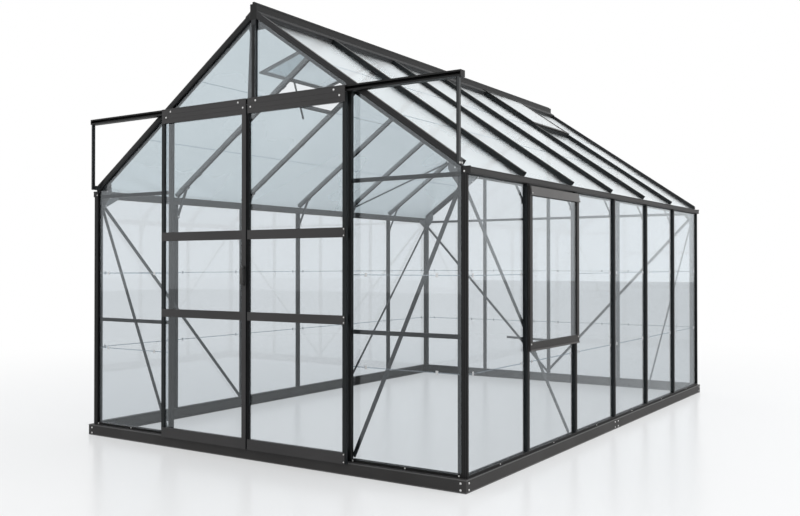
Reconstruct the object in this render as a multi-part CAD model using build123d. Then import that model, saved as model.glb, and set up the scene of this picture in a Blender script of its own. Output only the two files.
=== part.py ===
from build123d import *
import math
import os

# Glass greenhouse with a pair of sliding doors. Millimetres, +Z up, doors toward -Y.
# The walls and roof are T-shaped bars with the panes tucked behind their caps.

os.makedirs("parts", exist_ok=True)

# ---------------------------------------------------------------- driving dimensions
PANE_WIDTH = 610          # standard pane, sets the bay pitch
SIDE_BAYS = 6             # bays along each long wall
EAVES_Z = 1399            # underside of the gutter
ROOF_RISE = 0.692         # rise over run of the roof
BASE_HEIGHT = 60
BASE_WALL = 3
BASE_FLANGE = 38
BASE_OUT_X = 10           # base face beyond the wall bars
BASE_OUT_Y = 28           # base face beyond the gable bars
SILL_HEIGHT = 12

BAR_FACE = 30             # cap width of a bar
CAP_DEPTH = 10            # cap in front of the glass
WEB = 6                   # web thickness
WEB_DEPTH = 20            # web behind the cap
ROOF_CAP = 22             # cap of a roof bar above the glass
ROOF_WEB = 8
GLASS = 4
CORNER_FACE = 30          # corner posts
CORNER_DEPTH = 14
END_X = 12                # eaves corners beyond the last bay, across the gables
END_Y = 18                # and along the walls
RAFTER_FACE = 30          # gable rafters
RAFTER_DEPTH = 20
FLAT = 4                  # thickness of the bracing flats
FLAT_WIDTH = 20
APEX_HALF = 60            # apex gussets
APEX_DROP = 48

GUTTER_HEIGHT = 29
GUTTER_CAP = 4            # end caps above the gutter wall
GUTTER_LIP = 11           # flange behind the wall panes
GUTTER_OUT = 15           # gutter face beyond the wall bars
GUTTER_WALL = 3
GUTTER_FLOOR = 6

RIDGE_HALF = 22
RIDGE_RISE = 43           # ridge side face above the roof plane
RIDGE_WALL = 4
RIDGE_RIB = 10

VENT_LENGTH = 512
VENT_DEPTH = 10
VENT_PANE = 3             # pane below the top of its frame
VENT_BAR = 14             # cap width of the bar below a vent
VENT_SEAT = 4             # vent foot on its cross bar
STAY_CLEAR = 13           # hanging stay inside that bar
VENT_OVERLAP = 9          # vent and window beyond the bay centre lines
VENT_OPEN = 18.3          # degrees, left vent only
SASH_FACE = 28

WINDOW_Z0 = 566
WINDOW_RAIL = 45
WINDOW_DEPTH = 15

HEAD_Z = 1820             # underside of the door head
DOOR_LAP = 5              # door post caps reach further into the doorway
TRACK_HEIGHT = 29
TRACK_DEPTH = 38
TRACK_WALL = 3
TRACK_SLOT = 13

LEAF_GAP = 5              # running clearance round the leaves
LEAF_DEPTH = 13
LEAF_PLATE = 4            # rail plates in front of the stiles
LEAF_Z0 = 56
OUTER_STILE = 22
MEETING_STILE = 30
SEAL_STILE = 14
ROLLER_PLAY = 0.3

# ---------------------------------------------------------------- derived positions
PITCH = PANE_WIDTH + WEB
BAY_END = SIDE_BAYS * PITCH / 2
POST_X = 2 * PITCH + END_X               # the gables are always four bays wide
POST_Y = BAY_END + END_Y
WALL_OUT = POST_X + 13                   # outer face of the long walls
WALL_CAP = WALL_OUT - CAP_DEPTH
WALL_GLASS = WALL_CAP - GLASS
WALL_IN = WALL_CAP - WEB_DEPTH
GABLE_OUT = POST_Y - 8                   # outer face of the gables
GABLE_CAP = GABLE_OUT - CAP_DEPTH
GABLE_GLASS = GABLE_CAP - GLASS
GABLE_IN = GABLE_CAP - WEB_DEPTH
BASE_X = WALL_OUT + BASE_OUT_X
BASE_Y = GABLE_OUT + BASE_OUT_Y
SILL_Z = BASE_HEIGHT + SILL_HEIGHT
CORNER_IN = WALL_OUT - CORNER_FACE
CORNER_Y = GABLE_OUT - CORNER_DEPTH

SLOPE = math.atan(ROOF_RISE)
SIN = math.sin(SLOPE)
COS = math.cos(SLOPE)
FOOT_X = POST_X - 2                      # lower end of the roof bars
FOOT_Z = EAVES_Z + 58
GUTTER_IN = WALL_OUT - 28
GUTTER_X = WALL_OUT + GUTTER_OUT
GUTTER_Y = GABLE_OUT - 5
RIDGE_TOP = FOOT_Z + ROOF_RISE * (FOOT_X - RIDGE_HALF) + RIDGE_RISE
BAR_LINES = [PITCH * i - BAY_END for i in range(1, SIDE_BAYS)]
RIGHT_VENT_Y = BAY_END - 1.5 * PITCH      # second bay from the back, right slope
LEFT_VENT_Y = -RIGHT_VENT_Y              # second bay from the front, left slope
WINDOW_Y = -RIGHT_VENT_Y                 # second bay from the front, right wall

TRACK_Z = HEAD_Z + 1
TRACK_TOP = TRACK_Z + TRACK_HEIGHT
TRACK_FRONT = -GABLE_OUT - TRACK_DEPTH
TRACK_END = POST_X + 3
STRUT_OUT = POST_X - 6
LEAF_BACK = -BASE_Y - LEAF_GAP
LEAF_MID = LEAF_BACK - LEAF_DEPTH        # front of the stiles, back of the plates
LEAF_FRONT = LEAF_MID - LEAF_PLATE
LEAF_TOP = TRACK_Z - LEAF_GAP
LEAF_EDGE = PITCH + 15
HANDLE_FRONT = LEAF_FRONT - 24

# Every piece is moved by this much so the whole stands centred on the origin.
CENTRE_Y = (-HANDLE_FRONT - BASE_Y) / 2


# ---------------------------------------------------------------- helpers
def block(x0, x1, y0, y1, z0, z1):
    size = (abs(x1 - x0), abs(y1 - y0), abs(z1 - z0))
    return Pos((x0 + x1) / 2, (y0 + y1) / 2, (z0 + z1) / 2) * Box(*size)


def sheet(points, push):
    outline = Wire.make_polygon([Vector(*p) for p in points], close=True)
    return Solid.extrude(Face(outline), Vector(*push))


def across_y(outline, y0, y1):
    """Outline of (x, z) points, extruded from y0 to y1."""
    return sheet([(x, y0, z) for x, z in outline], (0, y1 - y0, 0))


def across_x(outline, x0, x1):
    """Outline of (y, z) points, extruded from x0 to x1."""
    return sheet([(x0, y, z) for y, z in outline], (x1 - x0, 0, 0))


def strip(p, q, width):
    """Corners of a flat of the given width laid along the line p to q."""
    run = math.hypot(q[0] - p[0], q[1] - p[1])
    a = -(q[1] - p[1]) / run * width / 2
    b = (q[0] - p[0]) / run * width / 2
    return [(p[0] + a, p[1] + b), (q[0] + a, q[1] + b), (q[0] - a, q[1] - b), (p[0] - a, p[1] - b)]


def roof_z(x, depth):
    """Height of the right slope at x, measured square below the bar tops."""
    return FOOT_Z + ROOF_RISE * (FOOT_X - x) - depth / COS


def roof_point(along, depth):
    """(x, z) a distance up the right slope and a depth square below the bar tops."""
    return (FOOT_X - along * COS - depth * SIN, FOOT_Z + along * SIN - depth * COS)


def roof_flat(points, d0, d1):
    """Outline of (along, y) points on the right slope, between two depths."""
    corners = []
    for along, y in points:
        x, z = roof_point(along, d0)
        corners.append((x, y, z))
    return sheet(corners, (-(d1 - d0) * SIN, 0, -(d1 - d0) * COS))


def left(shape):
    return mirror(shape, about=Plane.YZ)


def back(shape):
    return mirror(shape, about=Plane.XZ)


def save(node, *solids):
    moved = [Pos(0, CENTRE_Y, 0) * s for s in solids]
    export_step(Compound(children=moved), f"parts/{node}.step")


# ---------------------------------------------------------------- base and sills
def base_rail(half_length, out):
    """Channel open to the inside, along X at y = -out, mitred at both ends."""
    inner = out - BASE_FLANGE
    section = [
        (-out, 0),
        (-inner, 0),
        (-inner, BASE_WALL),
        (-out + BASE_WALL, BASE_WALL),
        (-out + BASE_WALL, BASE_HEIGHT - BASE_WALL),
        (-inner, BASE_HEIGHT - BASE_WALL),
        (-inner, BASE_HEIGHT),
        (-out, BASE_HEIGHT),
    ]
    rail = across_x(section, -half_length, half_length)
    short = half_length - BASE_FLANGE
    plan = [(-half_length, -out), (half_length, -out), (short, -inner), (-short, -inner)]
    mitre = sheet([(x, y, 0) for x, y in plan], (0, 0, BASE_HEIGHT))
    return rail & mitre


front_rail = base_rail(BASE_X, BASE_Y)
side_rail = Rot(0, 0, 90) * base_rail(BASE_Y, BASE_X)
save("base_gable_rails", front_rail, back(front_rail))
save("base_side_rails", side_rail, left(side_rail))

# Angles inside the mitred corners and splice plates at mid-length of the long rails.
inside_x = BASE_X - BASE_WALL
inside_y = BASE_Y - BASE_WALL
leg = 34
clear_z = (BASE_WALL, BASE_HEIGHT - BASE_WALL)
angle = block(inside_x - leg, inside_x, -inside_y, -inside_y + BASE_WALL, *clear_z)
angle += block(inside_x - BASE_WALL, inside_x, -inside_y, -inside_y + leg, *clear_z)
splice = block(inside_x - BASE_WALL, inside_x, -60, 60, *clear_z)
save("base_joints", angle, left(angle), back(angle), left(back(angle)), splice, left(splice))

side_sill = block(WALL_GLASS, WALL_OUT, -CORNER_Y, CORNER_Y, BASE_HEIGHT, SILL_Z)
side_sill += block(WALL_IN, WALL_GLASS, -GABLE_IN, GABLE_IN, BASE_HEIGHT, SILL_Z)
door_edge = PITCH + BAR_FACE / 2 - DOOR_LAP
front_sill = block(door_edge, CORNER_IN, -GABLE_OUT, -GABLE_IN, BASE_HEIGHT, SILL_Z)
back_sill = block(-CORNER_IN, CORNER_IN, GABLE_IN, GABLE_OUT, BASE_HEIGHT, SILL_Z)
save("sills", side_sill, left(side_sill), front_sill, left(front_sill), back_sill)

# ---------------------------------------------------------------- posts, bars and gutters
post_face = [
    (CORNER_IN, BASE_HEIGHT),
    (WALL_OUT, BASE_HEIGHT),
    (WALL_OUT, EAVES_Z),
    (GUTTER_IN, EAVES_Z),
    (GUTTER_IN, roof_z(GUTTER_IN, RAFTER_FACE)),
    (CORNER_IN, roof_z(CORNER_IN, RAFTER_FACE)),
]
post = across_y(post_face, -GABLE_OUT, -GABLE_CAP)
post += block(WALL_GLASS, WALL_OUT, -GABLE_OUT, -CORNER_Y, BASE_HEIGHT, EAVES_Z)
post += block(WALL_IN, WALL_GLASS, -GABLE_CAP, -GABLE_IN, BASE_HEIGHT, EAVES_Z)
save("corner_posts", post, left(post), back(post), left(back(post)))


def wall_bar(y):
    cap = block(WALL_CAP, WALL_OUT, y - BAR_FACE / 2, y + BAR_FACE / 2, SILL_Z, EAVES_Z)
    return cap + block(WALL_IN, WALL_CAP, y - WEB / 2, y + WEB / 2, SILL_Z, EAVES_Z)


wall_bars = [wall_bar(y) for y in BAR_LINES]
save("wall_bars_right", *wall_bars)
save("wall_bars_left", *[left(bar) for bar in wall_bars])

# The inner wall of the gutter is cut to the slope and carries the roof panes.
lip = GUTTER_IN + 8
trough = GUTTER_X - GUTTER_WALL
gutter_top = EAVES_Z + GUTTER_HEIGHT
pane_back = ROOF_CAP + GLASS
gutter_section = [
    (GUTTER_IN, EAVES_Z),
    (GUTTER_X, EAVES_Z),
    (GUTTER_X, gutter_top),
    (trough, gutter_top),
    (trough, EAVES_Z + GUTTER_FLOOR),
    (lip, EAVES_Z + GUTTER_FLOOR),
    (lip, roof_z(lip, pane_back)),
    (GUTTER_IN, roof_z(GUTTER_IN, pane_back)),
]
gutter = across_y(gutter_section, -GUTTER_Y, GUTTER_Y)
for end in (-1, 1):
    y0 = end * GUTTER_Y
    gutter += block(GUTTER_IN, GUTTER_X, y0, y0 - end * GUTTER_WALL, EAVES_Z, gutter_top + GUTTER_CAP)
flange = [
    (WALL_IN - GUTTER_WALL, EAVES_Z - GUTTER_LIP),
    (WALL_IN, EAVES_Z - GUTTER_LIP),
    (WALL_IN, EAVES_Z),
    (GUTTER_IN, EAVES_Z),
    (GUTTER_IN, EAVES_Z + GUTTER_WALL),
    (WALL_IN - GUTTER_WALL, EAVES_Z + GUTTER_WALL),
]
gutter += across_y(flange, -GABLE_IN + 4, GABLE_IN - 4)
save("gutter_right", gutter)
save("gutter_left", left(gutter))

# ---------------------------------------------------------------- rafters, roof bars and ridge
RIDGE_FOOT = roof_z(RIDGE_HALF, RAFTER_FACE + 2)


def sloped(d0, d1, foot):
    """Outline of a member of the right slope, plumb at the ridge."""
    low = [(GUTTER_IN, roof_z(GUTTER_IN, d0)), (GUTTER_IN, roof_z(GUTTER_IN, d1))]
    if foot == "square":
        low = [roof_point(0, d0), roof_point(0, d1)]
    return low + [(RIDGE_HALF, roof_z(RIDGE_HALF, d1)), (RIDGE_HALF, roof_z(RIDGE_HALF, d0))]


bar_back = ROOF_CAP + ROOF_WEB
cap_outline = sloped(0, ROOF_CAP, "square")
web_outline = sloped(ROOF_CAP, bar_back, "plumb")
flange_outline = sloped(ROOF_CAP, RAFTER_FACE, "plumb")
ledge_outline = sloped(pane_back, bar_back, "plumb")

rafter = across_y(cap_outline, -GABLE_OUT, -GABLE_OUT + RAFTER_DEPTH)
rafter += across_y(flange_outline, -GABLE_OUT, -GABLE_CAP)
rafter += across_y(ledge_outline, -GABLE_CAP, -GABLE_IN)
save("gable_rafters", rafter, left(rafter), back(rafter), left(back(rafter)))


def roof_bar(y):
    cap = across_y(cap_outline, y - BAR_FACE / 2, y + BAR_FACE / 2)
    return cap + across_y(web_outline, y - WEB / 2, y + WEB / 2)


roof_bars = [roof_bar(y) for y in BAR_LINES]
save("roof_bars_right", *roof_bars)
save("roof_bars_left", *[left(bar) for bar in roof_bars])

# The ridge is an inverted channel closed at both gables, with a rib along its top.
ridge = block(-RIDGE_HALF, RIDGE_HALF, -GABLE_OUT, GABLE_OUT, RIDGE_FOOT, RIDGE_TOP)
hollow = RIDGE_HALF - RIDGE_WALL
hollow_y = GABLE_OUT - RIDGE_WALL
ridge -= block(-hollow, hollow, -hollow_y, hollow_y, RIDGE_FOOT, RIDGE_TOP - RIDGE_WALL)
ridge += block(-6, 6, -GABLE_OUT, GABLE_OUT, RIDGE_TOP, RIDGE_TOP + RIDGE_RIB)
save("ridge_beam", ridge)

# Flashing on the bars either side of the ridge, left out where a vent is hinged.
flash_x = RIDGE_HALF + 32
flashing = [
    (RIDGE_HALF, roof_z(RIDGE_HALF, 0)),
    (flash_x, roof_z(flash_x, 0)),
    (flash_x, roof_z(flash_x, -5)),
    (RIDGE_HALF, roof_z(RIDGE_HALF, -5)),
]
vent_half = PITCH / 2 + VENT_OVERLAP + 1
covers = [
    across_y(flashing, -GABLE_OUT, RIGHT_VENT_Y - vent_half),
    across_y(flashing, RIGHT_VENT_Y + vent_half, GABLE_OUT),
    left(across_y(flashing, -GABLE_OUT, LEFT_VENT_Y - vent_half)),
    left(across_y(flashing, LEFT_VENT_Y + vent_half, GABLE_OUT)),
]
save("ridge_covers", *covers)


# ---------------------------------------------------------------- gable bars, door head and track
def gable_top(x, depth):
    return min(roof_z(abs(x), depth), RIDGE_FOOT)


def gable_bar(x, z0, lap=0):
    """Upright bar of the front gable, cut under the rafters, its cap shifted by the lap."""
    solid = None
    cap = (x - BAR_FACE / 2 - lap, x + BAR_FACE / 2 - lap, GABLE_OUT, GABLE_CAP)
    for x0, x1, y0, y1 in (cap, (x - WEB / 2, x + WEB / 2, GABLE_CAP, GABLE_IN)):
        outline = [
            (x0, z0),
            (x1, z0),
            (x1, gable_top(x1, RAFTER_FACE)),
            (x0, gable_top(x0, RAFTER_FACE)),
        ]
        piece = across_y(outline, -y0, -y1)
        solid = piece if solid is None else solid + piece
    return solid


HEAD_TOP = TRACK_TOP - 4
door_post = gable_bar(PITCH, BASE_HEIGHT, DOOR_LAP)
head_half = PITCH - BAR_FACE / 2 - DOOR_LAP
head = block(-head_half, head_half, -GABLE_OUT, -GABLE_CAP, HEAD_Z, HEAD_TOP)
head_web = (HEAD_Z + HEAD_TOP) / 2
web_reach = PITCH - WEB / 2
head += block(-web_reach, web_reach, -GABLE_CAP, -GABLE_IN, head_web - WEB / 2, head_web + WEB / 2)
save("door_surround", door_post, left(door_post), head)

front_mullion = gable_bar(0, HEAD_TOP)
back_mullions = [back(gable_bar(x, SILL_Z)) for x in (-PITCH, 0, PITCH)]
save("gable_mullions", front_mullion, *back_mullions)

# Level bars behind the gable glass, between the webs.
tie_y = (-GABLE_GLASS, -GABLE_IN)
bar_half = 10
tie_z = EAVES_Z
mid_z = BASE_HEIGHT + 617
gap_a = PITCH + WEB / 2
gap_b = PITCH - WEB / 2
ties = []
for z in (mid_z, tie_z):
    front_tie = block(gap_a, WALL_IN, *tie_y, z - bar_half, z + bar_half)
    ties += [front_tie, left(front_tie)]
for x0, x1 in ((gap_a, WALL_IN), (WEB / 2, gap_b)):
    back_tie = back(block(x0, x1, *tie_y, tie_z - bar_half, tie_z + bar_half))
    ties += [back_tie, left(back_tie)]
save("gable_tie_bars", *ties)

# The track is a channel open to the front through a slot, closed at both ends.
slot_mid = TRACK_Z + TRACK_HEIGHT / 2
track = block(-TRACK_END, TRACK_END, TRACK_FRONT, -GABLE_OUT, TRACK_Z, TRACK_TOP)
track_in = TRACK_END - TRACK_WALL
cavity_y = (TRACK_FRONT + TRACK_WALL, -GABLE_OUT - TRACK_WALL)
track -= block(-track_in, track_in, *cavity_y, TRACK_Z + TRACK_WALL, TRACK_TOP - TRACK_WALL)
slot_y = (TRACK_FRONT, TRACK_FRONT + TRACK_WALL)
track -= block(-track_in, track_in, *slot_y, slot_mid - TRACK_SLOT / 2, slot_mid + TRACK_SLOT / 2)
save("door_track", track)

# Struts carry the track ends; a foot ties each one back to the rafter.
strut_x = (STRUT_OUT - 12, STRUT_OUT)
foot_z = (FOOT_Z - 18, FOOT_Z + 6)
strut = block(*strut_x, TRACK_FRONT, TRACK_FRONT + 17, foot_z[0], TRACK_Z)
strut += block(*strut_x, TRACK_FRONT + 17, -GABLE_OUT - FLAT, *foot_z)
strut += block(CORNER_IN - 18, STRUT_OUT, -GABLE_OUT - FLAT, -GABLE_OUT, *foot_z)
save("track_struts", strut, left(strut))

# ---------------------------------------------------------------- braces and gussets
wall_flat = strip((-POST_Y + 32, EAVES_Z - 37), (-BAY_END + 2 * PITCH - 34, SILL_Z), FLAT_WIDTH)
wall_brace = across_x(wall_flat, WALL_IN - FLAT, WALL_IN)
wall_brace &= block(0, POST_X, -GABLE_IN + FLAT, 0, BASE_HEIGHT + 4, EAVES_Z)
save("wall_braces", wall_brace, left(wall_brace), back(wall_brace), left(back(wall_brace)))

behind_y = (-GABLE_IN, -GABLE_IN + FLAT)
brace_top = EAVES_Z - 54
inner_half = block(0, WALL_GLASS - 1, -POST_Y, 0, BASE_HEIGHT + 4, EAVES_Z)


def gable_brace(foot_x, top_x, top_z):
    flat = strip((foot_x, SILL_Z + 7), (top_x, top_z), FLAT_WIDTH)
    return across_y(flat, *behind_y) & inner_half


front_brace = gable_brace(PITCH + 4, POST_X - 41, brace_top)
front_left_brace = left(gable_brace(PITCH + 53, POST_X - 13, brace_top))
back_brace = back(gable_brace(-9, POST_X - 41, brace_top + 9))
save("gable_braces", front_brace, front_left_brace, back_brace, left(back_brace))

# One wind brace on each slope, in the end away from that slope's vent.
near_bar = BAY_END - 2 * PITCH
far_bar = BAY_END - PITCH
wind_flat = strip((43 / COS, near_bar), ((43 + PITCH) / COS, far_bar), FLAT_WIDTH)
wind_brace = roof_flat(wind_flat, bar_back, bar_back + FLAT)
save("roof_braces", left(wind_brace), back(wind_brace))

# Knee braces: flats bent to lie on the wall bar below and the roof bar above.
knee_top = FOOT_X - 88
wall_face = WALL_IN - FLAT
knee = [
    (WALL_IN, EAVES_Z - 98),
    (WALL_IN, EAVES_Z - 77),
    (knee_top, roof_z(knee_top, bar_back)),
    (knee_top - 26, roof_z(knee_top - 26, bar_back)),
    (knee_top - 26, roof_z(knee_top - 26, bar_back + FLAT)),
    (knee_top - FLAT, roof_z(knee_top - FLAT, bar_back + FLAT)),
    (wall_face, EAVES_Z - 79),
    (wall_face, EAVES_Z - 98),
]
knees = [across_y(knee, y - FLAT_WIDTH / 2, y + FLAT_WIDTH / 2) for y in BAR_LINES]
save("knee_braces", *knees, *[left(k) for k in knees])

# Gussets: bent plates in the eaves corners and flat ones at the apex, round the braces.
plate = 3
plate_y = (-GABLE_IN, -GABLE_IN + plate)
under = ROOF_CAP + GLASS
eaves_plate = [
    (WALL_GLASS - 1, EAVES_Z - 73),
    (WALL_GLASS - 1, EAVES_Z - 2),
    (GUTTER_IN - 1, EAVES_Z - 2),
    (GUTTER_IN - 1, roof_z(GUTTER_IN - 1, under)),
    (POST_X - 94, roof_z(POST_X - 94, under)),
    (POST_X - 101, EAVES_Z + 29),
    (POST_X - 79, EAVES_Z - 13),
    (POST_X - 44, EAVES_Z - 56),
]
wing = [
    (-GABLE_IN, EAVES_Z + 17),
    (-GABLE_IN, EAVES_Z - 73),
    (-POST_Y + 76, EAVES_Z - 51),
    (-POST_Y + 153, EAVES_Z - 9),
    (-POST_Y + 153, EAVES_Z + 9),
    (-POST_Y + 140, EAVES_Z + 17),
]
apex_plate = [
    (-APEX_HALF, roof_z(APEX_HALF, under)),
    (-RIDGE_HALF - 1, roof_z(RIDGE_HALF + 1, under)),
    (-RIDGE_HALF - 1, RIDGE_FOOT - 1),
    (RIDGE_HALF + 1, RIDGE_FOOT - 1),
    (RIDGE_HALF + 1, roof_z(RIDGE_HALF + 1, under)),
    (APEX_HALF, roof_z(APEX_HALF, under)),
    (APEX_HALF - 4, RIDGE_FOOT - APEX_DROP),
    (4 - APEX_HALF, RIDGE_FOOT - APEX_DROP),
]
wing_x = (WALL_IN - FLAT - plate, WALL_IN - FLAT)
corner_plate = across_y(eaves_plate, *plate_y) + across_x(wing, *wing_x)
apex = across_y(apex_plate, *plate_y)


def notched(shape, brace):
    return max((shape - brace).solids(), key=lambda solid: solid.volume)


front_plate = notched(corner_plate, front_brace)
front_left_plate = notched(left(corner_plate), front_left_brace)
back_plate = notched(back(corner_plate), back_brace)
corners = (front_plate, front_left_plate, back_plate, left(back_plate))
save("gussets", *corners, apex, back(apex))

# ---------------------------------------------------------------- glass
bay_edges = [-CORNER_Y] + [y + s for y in BAR_LINES for s in (-WEB / 2, WEB / 2)] + [CORNER_Y]
bays = list(zip(bay_edges[0::2], bay_edges[1::2]))
TRANSOM_Z = WINDOW_Z0 + 12
side_panes = []
for y0, y1 in bays:
    top = TRANSOM_Z - WEB / 2 if y0 < WINDOW_Y < y1 else EAVES_Z
    side_panes.append(block(WALL_GLASS, WALL_CAP, y0, y1, SILL_Z, top))
    side_panes.append(left(block(WALL_GLASS, WALL_CAP, y0, y1, SILL_Z, EAVES_Z)))
save("glass_walls", *side_panes)

pane_y = (-GABLE_CAP, -GABLE_GLASS)


def gable_pane(x0, x1, z0):
    """Pane between two webs, cut to the rafter."""
    outline = [(x0, z0), (x1, z0), (x1, roof_z(x1, bar_back))]
    if roof_z(x0, bar_back) > RIDGE_FOOT:
        outline.append((FOOT_X - (RIDGE_FOOT + bar_back / COS - FOOT_Z) / ROOF_RISE, RIDGE_FOOT))
    outline.append((x0, gable_top(x0, bar_back)))
    return across_y(outline, *pane_y)


front_panes = [gable_pane(gap_a, WALL_IN, SILL_Z), gable_pane(WEB / 2, gap_b, head_web + WEB / 2)]
save("glass_front", *front_panes, *[left(p) for p in front_panes])
back_panes = [back(gable_pane(a, b, SILL_Z)) for a, b in ((gap_a, WALL_IN), (WEB / 2, gap_b))]
save("glass_back", *back_panes, *[left(p) for p in back_panes])

# Roof panes run from over the gutter to the ridge, or to the bar below a vent.
ridge_along = (FOOT_X - RIDGE_HALF - under * SIN) / COS
hinge_x = RIDGE_HALF + 1 + VENT_DEPTH * SIN
hinge_z = roof_z(hinge_x, -VENT_DEPTH)
transom_along = (FOOT_X - hinge_x + VENT_DEPTH * SIN) / COS - VENT_LENGTH - VENT_BAR / 2 + VENT_SEAT
roof_edges = [-GABLE_CAP] + bay_edges[1:-1] + [GABLE_CAP]
roof_bays = list(zip(roof_edges[0::2], roof_edges[1::2]))
roof_panes = []
for side_vent, flip in ((RIGHT_VENT_Y, False), (LEFT_VENT_Y, True)):
    for y0, y1 in roof_bays:
        top = transom_along - WEB / 2 if y0 < side_vent < y1 else ridge_along
        corners = [(-6, y0), (top, y0), (top, y1), (-6, y1)]
        pane = roof_flat(corners, ROOF_CAP, under)
        roof_panes.append(left(pane) if flip else pane)
save("glass_roof", *roof_panes)

# ---------------------------------------------------------------- opening bars, window and vents
cap_gap = PITCH / 2 - BAR_FACE / 2
web_gap = PITCH / 2 - WEB / 2


def vent_transom(y):
    """Cross bar of the right slope that the foot of a vent lies on."""
    a0 = transom_along - VENT_BAR / 2
    a1 = transom_along + VENT_BAR / 2
    cap = [(a0, y - cap_gap), (a1, y - cap_gap), (a1, y + cap_gap), (a0, y + cap_gap)]
    b0 = transom_along - WEB / 2
    b1 = transom_along + WEB / 2
    web = [(b0, y - web_gap), (b1, y - web_gap), (b1, y + web_gap), (b0, y + web_gap)]
    return roof_flat(cap, 0, ROOF_CAP) + roof_flat(web, ROOF_CAP, bar_back)


cap_span = (WINDOW_Y - cap_gap, WINDOW_Y + cap_gap)
web_span = (WINDOW_Y - web_gap, WINDOW_Y + web_gap)
wall_transom = block(WALL_CAP, WALL_OUT, *cap_span, TRANSOM_Z - 12, TRANSOM_Z + 12)
wall_transom += block(WALL_IN, WALL_CAP, *web_span, TRANSOM_Z - WEB / 2, TRANSOM_Z + WEB / 2)
save("transoms", wall_transom, vent_transom(RIGHT_VENT_Y), left(vent_transom(LEFT_VENT_Y)))

WINDOW_Z1 = EAVES_Z - 9
sash_half = PITCH / 2 + VENT_OVERLAP
light_half = sash_half - SASH_FACE
window_x = WALL_OUT + WINDOW_DEPTH
window = block(WALL_OUT, window_x, WINDOW_Y - sash_half, WINDOW_Y + sash_half, WINDOW_Z0, WINDOW_Z1)
light_y = (WINDOW_Y - light_half, WINDOW_Y + light_half)
light_z = (WINDOW_Z0 + WINDOW_RAIL, WINDOW_Z1 - WINDOW_RAIL - 4)
window -= block(WALL_OUT, window_x, *light_y, *light_z)
save("window_frame", window)
light_x = (WALL_OUT + 5, WALL_OUT + 5 + GLASS)
save("window_glass", block(*light_x, *light_y, *light_z))

stay_z = (TRANSOM_Z + 16, TRANSOM_Z + 28)
arm = strip((WALL_OUT, WINDOW_Y - 11), (WALL_OUT - 311, WINDOW_Y + 81), FLAT)
stay = sheet([(x, y, stay_z[0]) for x, y in arm], (0, 0, stay_z[1] - stay_z[0]))
stay &= block(0, WALL_OUT, WINDOW_Y - 200, WINDOW_Y + 200, *stay_z)
save("window_stay", stay)

# A vent is made flat, hinged along its upper front edge, then laid at its slope.
vent = block(0, VENT_LENGTH, -sash_half, sash_half, -VENT_DEPTH, 0)
vent_light = (SASH_FACE, VENT_LENGTH - SASH_FACE)
vent -= block(*vent_light, -light_half, light_half, -VENT_DEPTH, 0)
vent_pane = block(*vent_light, -light_half, light_half, -VENT_PANE - GLASS, -VENT_PANE)


def hinged(shape, y, opening):
    """Lay a flat-built vent part on the right slope, opened by an angle."""
    lean = SLOPE - math.radians(opening)
    slope_x = (math.cos(lean), 0, -math.sin(lean))
    slope_z = (math.sin(lean), 0, math.cos(lean))
    return Plane(origin=(hinge_x, y, hinge_z), x_dir=slope_x, z_dir=slope_z).location * shape


def vent_sash(y, opening):
    """Sash with the hinge strip that joins its upper edge to the ridge."""
    lean = SLOPE - math.radians(opening)
    low_x = hinge_x - FLAT * math.sin(lean)
    low_z = hinge_z - FLAT * math.cos(lean)
    hinge = [(RIDGE_HALF, hinge_z), (hinge_x, hinge_z), (low_x, low_z), (RIDGE_HALF, low_z)]
    return hinged(vent, y, opening) + across_y(hinge, y - sash_half, y + sash_half)


save("vent_right_frame", vent_sash(RIGHT_VENT_Y, 0))
save("vent_left_frame", left(vent_sash(LEFT_VENT_Y, VENT_OPEN)))
left_pane = left(hinged(vent_pane, LEFT_VENT_Y, VENT_OPEN))
save("vent_glass", hinged(vent_pane, RIGHT_VENT_Y, 0), left_pane)

# The right stay lies folded under its vent, the left one hangs below the open vent.
stay_end = VENT_LENGTH - SASH_FACE + 8
folded = block(stay_end - 280, stay_end, -6, 6, -VENT_DEPTH - FLAT, -VENT_DEPTH)
lean = SLOPE - math.radians(VENT_OPEN)
hang_x = hinge_x + (stay_end + 4) * math.cos(lean) - VENT_DEPTH * math.sin(lean)
hang_z = hinge_z - (stay_end + 4) * math.sin(lean) - VENT_DEPTH * math.cos(lean)
hang_y = LEFT_VENT_Y - 19
stay_lean = 54 / 254                     # the stay leans toward the front as it falls
stay_x = FOOT_X - (transom_along + VENT_BAR / 2) * COS - bar_back * SIN - STAY_CLEAR
drop = strip((hang_x, hang_z + 10), (stay_x, hang_z - 184), 11)
drop = drop[:1] + [(stay_x - 30, hang_z - 261), (stay_x - 41, hang_z - 257)] + drop[2:]
corners = [(x, hang_y - stay_lean * (hang_z - z), z) for x, z in drop]
hanging = sheet(corners, (0, FLAT, 0))
hanging -= hinged(vent, LEFT_VENT_Y, VENT_OPEN)
save("vent_stays", hinged(folded, RIGHT_VENT_Y, 0), left(hanging))

# ---------------------------------------------------------------- sliding doors
BOTTOM_RAIL = (LEAF_Z0, LEAF_Z0 + 53)
LOWER_RAIL = (BASE_HEIGHT + 653, BASE_HEIGHT + 696)
UPPER_RAIL = (BASE_HEIGHT + 1067, BASE_HEIGHT + 1114)
TOP_PLATE = (TRACK_Z - 50.5, TRACK_TOP - 1)
PLATE_IN = 6
PLATE_OUT = LEAF_EDGE - 6
WHEEL = TRACK_HEIGHT / 2 - TRACK_WALL - ROLLER_PLAY
HALF_GAP = LEAF_GAP / 2


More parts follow.
